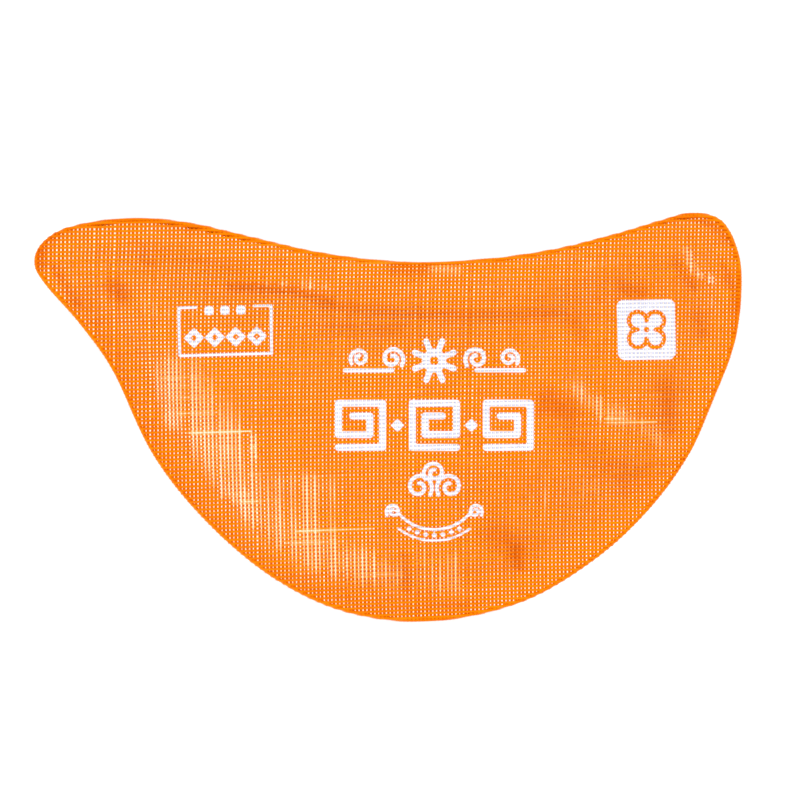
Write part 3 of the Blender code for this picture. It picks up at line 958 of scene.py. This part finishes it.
@dataclass
class FilmPouch:
    """The filled white film pouch under the mesh, with its flange in the rim."""

    edge: Edge
    relief: Relief
    rungs: int = 250
    across: int = 110
    shift: float = 0.28
    piece: bpy.types.Object | None = None

    def rails(self) -> tuple[Array, Array]:
        """The flange's upper and lower line from the left horn to the right one, as in the CAD.

        Points lie along each line at share s + shift sin(2 pi s) / (2 pi), moved in by an uneven inset.
        """
        line = self.edge.line
        tip = RIGHT_TIP * (len(line) // len(PLAN_MM))
        share = np.linspace(0, 1, self.rungs + 1)
        share = share + self.shift * np.sin(2 * np.pi * share) / (2 * np.pi)
        found = []
        for part in (line[:tip + 1], np.vstack([line[tip:], line[:1]])[::-1]):
            along = np.concatenate([[0], np.cumsum(np.linalg.norm(np.diff(part, axis=0), axis=1))])
            x, y = (np.interp(share * along[-1], along, part[:, k]) for k in (0, 1))
            gx, gy = self.edge.outward(x, y)
            inset = self.inset(x, y)
            found.append(np.stack([x - gx * inset, y - gy * inset], axis=1))
        return found[0], found[1]

    @staticmethod
    def inset(x: Array, y: Array) -> Array:
        """Distance in mm from the packet's edge to the flange's: 0.4 to 0.8, more along the upper left edge."""
        corner = smoothstep(6, 2, np.hypot(x + 42, (y - 39) * 2) / 5)
        right = smoothstep(14, 6, np.hypot(x - 64, y - 38))
        return 0.62 + 0.2 * plane_noise(x, y, 6.0, 21) + 0.6 * corner + 0.5 * right

    def build(self) -> None:
        """Lofts a top and a bottom grid over rungs between the rails, with a pole at either horn.

        A point of a rung is at share (1 - cos(pi t)) / 2 of its length, which is finer at the rails.
        """
        upper, lower = self.rails()
        share = 0.5 - 0.5 * np.cos(np.pi * np.linspace(0, 1, self.across + 1))
        flat = upper[:, None] * (1 - share)[None, :, None] + lower[:, None] * share[None, :, None]
        x, y = flat[..., 0], flat[..., 1]
        marks = MarkField.at(FRONT_MARKS, x, y)
        gap = 0.07 + 0.03 * (1 + plane_noise(x, y, 5.0, 22)) * smoothstep(-4, -8, self.edge.distance(x, y))
        top = front_height(self.relief, self.edge, x, y) - 0.17 - gap - 0.1 * np.clip(marks.shade, 0, 1.5)
        bottom = self.relief.back(x, y) + 0.26
        top = np.maximum(top, bottom + 0.06)
        verts, quads, triangles = pillow(x, y, top, bottom)
        self.piece = write_mesh("film_pouch", verts, quads, triangles)
        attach(self.piece, BODY)
        # painted shade on the film's top where the front cloth's shade marks lie; none on its bottom
        shade = np.clip(marks.shade, 0, 1.5)
        give_values(self.piece, "shade", np.concatenate([pole_values(shade), pole_values(0 * shade)]))


@dataclass
class EdgeBead:
    """The bead that the hot cut left along the edge, inside the cloth's roll."""

    edge: Edge
    relief: Relief
    half_width: float = 0.42
    inset: float = 0.53
    half_height: float = 0.4
    sides: int = 8
    piece: bpy.types.Object | None = None

    def build(self) -> None:
        """Carries an oval section along the outline, uneven by a twelfth.

        With a the angle round the section, a point is half_width cos a outwards and half_height sin a up from
        the middle of the roll.
        """
        line = self.edge.line[::2]
        gx, gy = self.edge.outward(line[:, 0], line[:, 1])
        angle = np.linspace(0, 2 * math.pi, self.sides, endpoint=False)[None, :]
        uneven = 1 + 0.08 * plane_noise(line[:, 0], line[:, 1], 1.6, 31)[:, None]
        out = -self.inset + self.half_width * uneven * np.cos(angle)
        x = line[:, :1] + gx[:, None] * out
        y = line[:, 1:] + gy[:, None] * out
        hold = ROLL_INSET + ROLL_RADIUS
        held_x, held_y = line[:, 0] - gx * hold, line[:, 1] - gy * hold
        height = front_height(self.relief, self.edge, held_x, held_y) - ROLL_RADIUS
        z = height[:, None] + self.half_height * uneven * np.sin(angle)
        number = np.arange(x.size).reshape(x.shape)
        along, around = np.roll(number, -1, axis=0), np.roll(number, -1, axis=1)
        quads = np.stack([number, around, np.roll(around, -1, axis=0), along], axis=-1).reshape(-1, 4)
        verts = np.stack([x, y, z], axis=-1).reshape(-1, 3)
        self.piece = write_mesh("edge_bead", verts, quads)
        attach(self.piece, BODY)


def pole_values(values: Array) -> Array:
    """Grid values for a grid whose first and last rows are one pole each."""
    return np.concatenate([values[0, :1], values[1:-1].ravel(), values[-1, :1]])


def pillow(x: Array, y: Array, top: Array, bottom: Array) -> tuple[Array, Array, Array]:
    """A closed body between two height grids over one plan grid, whose first and last rows are poles.

    Args:
        x: Places in mm, rows by columns.
        y: Places in mm.
        top: Upper heights in mm.
        bottom: Lower heights in mm.

    Returns:
        Vertices, quads and triangles.
    """
    rows, columns = x.shape
    number = np.zeros((rows, columns), int)
    number[1:-1] = 1 + np.arange((rows - 2) * columns).reshape(rows - 2, columns)
    number[-1] = 1 + (rows - 2) * columns
    half = number[-1, 0] + 1
    verts = [np.column_stack([pole_values(x), pole_values(y), pole_values(z)]) for z in (top, bottom)]
    a, b = number[1:-2, :-1].ravel(), number[2:-1, :-1].ravel()
    c, d = number[2:-1, 1:].ravel(), number[1:-2, 1:].ravel()
    over = np.stack([a, d, c, b], axis=1)
    rims = []
    for column, turn in ((0, 1), (columns - 1, -1)):
        here, there = number[:-1, column], number[1:, column]
        rim = np.stack([here, there, there + half, here + half], axis=1)
        rims.append(rim[:, ::turn])
    first = np.stack([number[0, :-1], number[1, 1:], number[1, :-1]], axis=1)
    last = np.stack([number[-1, :-1], number[-2, :-1], number[-2, 1:]], axis=1)
    fans = np.concatenate([first, last])
    quads = np.concatenate([over, over[:, ::-1] + half, *rims])
    return np.concatenate(verts), quads, np.concatenate([fans, fans[:, ::-1] + half])


@dataclass(frozen=True)
class YarnFinish:
    """Woven polypropylene tape: extruded, drawn and dyed through, so it is vivid, smooth and faintly streaky.

    Attributes:
        name: Name of the material.
        deep: Colour of its painted shade: at its edges, in the warp's spans and in creases.
        body: Its own colour.
        light: Colour of its lightest threads.
        streaks: Noise cells to the metre along X, Y and Z, finer across the thread than along it.
        printed: True if the white print lies on it.
        roughness: Roughness outside its painted highlights.
    """

    name: str
    deep: str
    body: str
    light: str
    streaks: tuple[float, float, float]
    printed: bool
    roughness: float = 0.36

    def material(self) -> bpy.types.Material:
        """Makes the material: its colour, with painted shade and painted highlights, from the piece's attributes,
        streaks from object space.
        """
        material, tree, shader = new_material(self.name)
        place = add_node(tree, "TexCoord").outputs["Object"]
        stretched = add_node(tree, "Mapping", i0=place, i3=self.streaks).outputs[0]
        noise = add_node(tree, "TexNoise", {"noise_dimensions": "3D"}, Vector=stretched, Scale=1.0, Detail=2.0)
        streak = add_node(tree, "MapRange", i0=noise.outputs[0], i1=0.3, i2=0.7, i3=-0.12, i4=0.12).outputs[0]
        tone_and_shade, painted_highlight, brink = (
            add_node(tree, "Attribute", {"attribute_name": name}).outputs["Fac"] for name in ("tone_and_shade", "painted_highlight", "brink"))
        # painted shade: the tone is deeper towards each thread's edges
        edge = add_node(tree, "Math", {"operation": "POWER"}, i0=brink, i1=1.6).outputs[0]
        edge = add_node(tree, "Math", {"operation": "MULTIPLY"}, i0=edge, i1=-0.3).outputs[0]
        tone_and_shade = add_node(tree, "Math", {"operation": "ADD"}, i0=tone_and_shade, i1=streak).outputs[0]
        tone_and_shade = add_node(tree, "Math", {"operation": "ADD"}, i0=tone_and_shade, i1=edge).outputs[0]
        ramp = add_node(tree, "ValToRGB", i0=tone_and_shade)
        self._set_ramp(ramp, ((0.0, self.deep), (0.5, self.body), (1.0, self.light)))
        # painted highlight: the spans turn pale peach to near white where the highlight attribute is high, and their
        # roughness drops
        highlight_colour = add_node(tree, "ValToRGB", i0=painted_highlight)
        self._set_ramp(highlight_colour, ((0.0, self.light), (0.5, "#E2AE7C"), (0.95, "#EAD8CA")))
        share = add_node(tree, "MapRange", {"interpolation_type": "SMOOTHSTEP"}, i0=painted_highlight, i1=0.05, i2=0.6)
        colour = add_node(tree, "Mix", {"data_type": "RGBA"}, i0=share.outputs[0], i6=ramp.outputs[0],
                          i7=highlight_colour.outputs[0]).outputs[2]
        rough = add_node(tree, "MapRange", i0=painted_highlight, i1=0.0, i2=1.0, i3=self.roughness, i4=0.24).outputs[0]
        if self.printed:
            inked = add_node(tree, "Attribute", {"attribute_name": "print"}).outputs["Fac"]
            cover = add_node(tree, "MapRange", {"interpolation_type": "SMOOTHSTEP"}, i0=inked, i1=-0.07, i2=0.07)
            # painted shade on the print: its white turns grey-lilac where the tone is low
            ink = add_node(tree, "ValToRGB", i0=tone_and_shade)
            self._set_ramp(ink, ((0.0, "#A4AABF"), (0.45, "#D4D4DE"), (1.0, "#E4E4EC")))
            colour = add_node(tree, "Mix", {"data_type": "RGBA"}, i0=cover.outputs[0], i6=colour,
                              i7=ink.outputs[0]).outputs[2]
            rough = add_node(tree, "Mix", {"data_type": "FLOAT"}, i0=cover.outputs[0], i2=rough, i3=0.55).outputs[0]
        bump = add_node(tree, "Bump", i0=0.25, i1=0.00002, Height=noise.outputs[0])
        tree.links.new(colour, shader.inputs["Base Color"])
        tree.links.new(rough, shader.inputs["Roughness"])
        tree.links.new(bump.outputs[0], shader.inputs["Normal"])
        shader.inputs["IOR"].default_value = 1.49
        shader.inputs["Specular Tint"].default_value = linear("#FFA820")
        return material

    @staticmethod
    def _set_ramp(node: bpy.types.Node, stops: tuple[tuple[float, str], ...]) -> None:
        """Gives a colour ramp its stops."""
        elements = node.color_ramp.elements
        while len(elements) < len(stops):
            elements.new(0.5)
        for element, (place, colour) in zip(elements, stops):
            element.position = place
            element.color = linear(colour)


@dataclass(frozen=True)
class BeadFinish:
    """Polypropylene melted by a hot blade: smooth and glossy, a deeper orange than the yarn, with small lumps."""

    name: str = "melted_orange_polypropylene"
    body: str = "#E67600"
    deep: str = "#D06000"
    roughness: float = 0.3

    def material(self) -> bpy.types.Material:
        """Makes the material: two tones in patches of a mm, with a bump of lumps of the same size."""
        material, tree, shader = new_material(self.name)
        place = add_node(tree, "TexCoord").outputs["Object"]
        lumps = add_node(tree, "TexNoise", {"noise_dimensions": "3D"}, Vector=place, Scale=1400.0, Detail=2.0)
        share = add_node(tree, "MapRange", i0=lumps.outputs[0], i1=0.35, i2=0.75)
        colour = add_node(tree, "Mix", {"data_type": "RGBA"}, i0=share.outputs[0], i6=linear(self.body),
                          i7=linear(self.deep))
        bump = add_node(tree, "Bump", i0=0.5, i1=0.00006, Height=lumps.outputs[0])
        tree.links.new(colour.outputs[2], shader.inputs["Base Color"])
        tree.links.new(bump.outputs[0], shader.inputs["Normal"])
        shader.inputs["Roughness"].default_value = self.roughness
        shader.inputs["IOR"].default_value = 1.49
        shader.inputs["Specular Tint"].default_value = linear("#FFA820")
        return material


@dataclass(frozen=True)
class FilmFinish:
    """White polyethylene film, blown and satin, with soft wrinkles a few mm across."""

    name: str = "white_polyethylene_film"
    body: str = "#FEF6E2"
    shaded: str = "#F2BC6C"
    roughness: float = 0.38

    def material(self) -> bpy.types.Material:
        """Makes the material: painted shade, a warm orange cream for the shade and the mesh's reflected colour, where
        the front cloth's shade marks lie, and a random mottle of the same colour.
        """
        material, tree, shader = new_material(self.name)
        place = add_node(tree, "TexCoord").outputs["Object"]
        shade = add_node(tree, "Attribute", {"attribute_name": "shade"}).outputs["Fac"]
        mottle = add_node(tree, "TexNoise", {"noise_dimensions": "3D"}, Vector=place, Scale=260.0, Detail=3.0)
        spread = add_node(tree, "MapRange", i0=mottle.outputs[0], i1=0.35, i2=0.75, i3=0.0, i4=0.45).outputs[0]
        # painted shade: the shade attribute mixes in the shaded colour, which also serves the random mottle
        share = add_node(tree, "MapRange", i0=shade, i1=0.0, i2=1.2, i3=0.0, i4=0.75).outputs[0]
        share = add_node(tree, "Math", {"operation": "ADD", "use_clamp": True}, i0=share, i1=spread).outputs[0]
        colour = add_node(tree, "Mix", {"data_type": "RGBA"}, i0=share, i6=linear(self.body), i7=linear(self.shaded))
        wrinkle = add_node(tree, "TexNoise", {"noise_dimensions": "3D"}, Vector=place, Scale=420.0, Detail=4.0)
        bump = add_node(tree, "Bump", i0=0.35, i1=0.0002, Height=wrinkle.outputs[0])
        tree.links.new(colour.outputs[2], shader.inputs["Base Color"])
        tree.links.new(bump.outputs[0], shader.inputs["Normal"])
        shader.inputs["Roughness"].default_value = self.roughness
        shader.inputs["IOR"].default_value = 1.51
        return material


@dataclass(frozen=True)
class Softbox:
    """A square studio light that faces the packet.

    Attributes:
        name: Name of the light.
        place: Where it stands, in metres.
        size: Length of its side, in metres.
        power: Power in watts.
    """

    name: str
    place: tuple[float, float, float]
    size: float
    power: float

    def build(self) -> None:
        """Adds the light and turns it to the packet."""
        light = bpy.data.lights.new(self.name, "AREA")
        light.shape = "SQUARE"
        light.size = self.size
        light.energy = self.power
        lamp = bpy.data.objects.new(self.name, light)
        bpy.context.scene.collection.objects.link(lamp)
        lamp.location = self.place
        lamp.rotation_mode = "QUATERNION"
        lamp.rotation_quaternion = (-Vector(self.place)).to_track_quat("-Z", "Y")


@dataclass(frozen=True)
class Studio:
    """White floor, even white surroundings, soft lights, and the camera straight above."""

    lights: tuple[Softbox, ...] = (
        Softbox("overhead_softbox", (0.0, 0.1, 1.1), 1.0, 11.0),
        Softbox("near_left_softbox", (-0.55, -0.6, 0.6), 0.5, 6.0),
        Softbox("far_right_softbox", (0.65, 0.5, 0.65), 0.5, 5.0),
    )
    surround: float = 0.5
    lens: float = 120.0
    sensor: float = 36.0
    frame_px: int = 800

    def build(self) -> None:
        """Adds the floor, the world, the lights and the camera."""
        self._floor()
        world = bpy.data.worlds.new("white_surround")
        bpy.context.scene.world = world
        world.use_nodes = True
        world.node_tree.nodes["Background"].inputs["Color"].default_value = (1, 1, 1, 1)
        world.node_tree.nodes["Background"].inputs["Strength"].default_value = self.surround
        for light in self.lights:
            light.build()
        self._camera()
        bpy.context.scene.view_settings.view_transform = "Standard"
        bpy.context.scene.view_settings.look = "None"

    def _floor(self) -> None:
        """A wide white floor at the packet's lowest point."""
        reach = 2500.0
        corners = np.array([(-1, -1, 0), (1, -1, 0), (1, 1, 0), (-1, 1, 0)], float) * reach
        floor = write_mesh("floor", corners, np.array([[0, 1, 2, 3]]))
        material, tree, shader = new_material("matt_white_paper")
        place = add_node(tree, "TexCoord").outputs["Object"]
        grain = add_node(tree, "TexNoise", {"noise_dimensions": "3D"}, Vector=place, Scale=900.0, Detail=2.0)
        colour = add_node(tree, "Mix", {"data_type": "RGBA"}, i0=grain.outputs[0], i6=linear("#F6F6F6"),
                          i7=linear("#FCFCFC"))
        tree.links.new(colour.outputs[2], shader.inputs["Base Color"])
        shader.inputs["Roughness"].default_value = 0.9
        shader.inputs["Specular IOR Level"].default_value = 0.1
        floor.data.materials.append(material)

    def _camera(self) -> None:
        """The camera looks straight down; its height makes one px of its frame FRAME_SCALE mm at the rim."""
        camera = bpy.data.cameras.new("camera")
        camera.lens = self.lens
        camera.sensor_width = self.sensor
        camera.clip_start, camera.clip_end = 0.01, 20.0
        eye = bpy.data.objects.new("camera", camera)
        bpy.context.scene.collection.objects.link(eye)
        middle = from_frame(self.frame_px / 2, self.frame_px / 2)
        height = self.frame_px * FRAME_SCALE * self.lens / self.sensor + FRONT_RIM_Z
        eye.location = (middle[0] * MM, middle[1] * MM, height * MM)
        bpy.context.scene.camera = eye


# The warp's colours are a little deeper than the weft's: painted shade for lying under the weft.
FRONT_WEFT = YarnFinish("orange_polypropylene_weft_printed", "#C05200", "#E47400", "#EE8600", (300, 5200, 5200), True)
FRONT_WARP = YarnFinish("orange_polypropylene_warp_printed", "#B24400", "#E26E00", "#EE8600", (5200, 300, 5200), True)
BACK_WEFT = YarnFinish("orange_polypropylene_weft", "#C05200", "#E47400", "#EE8600", (300, 5200, 5200), False)
BACK_WARP = YarnFinish("orange_polypropylene_warp", "#B24400", "#E26E00", "#EE8600", (5200, 300, 5200), False)


def dress(piece: bpy.types.Object, finish: YarnFinish | BeadFinish | FilmFinish, node: str) -> None:
    """Gives a piece its material and slot, hides the CAD node that it takes the place of, and reports it."""
    piece.data.materials.append(finish.material())
    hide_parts(node)
    LOG.info("%s: %d faces, finish %s, replaces %s", piece.name, len(piece.data.polygons), finish.name, node)


def main() -> None:
    """Builds the packet from the inside out, then the studio."""
    logging.basicConfig(level=logging.INFO, format="%(name)s %(message)s")
    edge = Edge()
    relief = Relief(edge)
    pouch = FilmPouch(edge, relief)
    pouch.build()
    dress(pouch.piece, FilmFinish(), "inner_pouch")
    back = MeshCloth(Side.BACK, edge, relief, WeaveGrid(seed=71))
    back.build()
    dress(back.pieces[Threads.WEFT], BACK_WEFT, "back_mesh")
    dress(back.pieces[Threads.WARP], BACK_WARP, "back_mesh")
    bead = EdgeBead(edge, relief)
    bead.build()
    dress(bead.piece, BeadFinish(), "front_mesh")
    front = MeshCloth(Side.FRONT, edge, relief, WeaveGrid(), FRONT_MARKS)
    front.build()
    dress(front.pieces[Threads.WEFT], FRONT_WEFT, "front_mesh")
    dress(front.pieces[Threads.WARP], FRONT_WARP, "front_mesh")
    Studio().build()


if __name__ == "__main__":
    main()
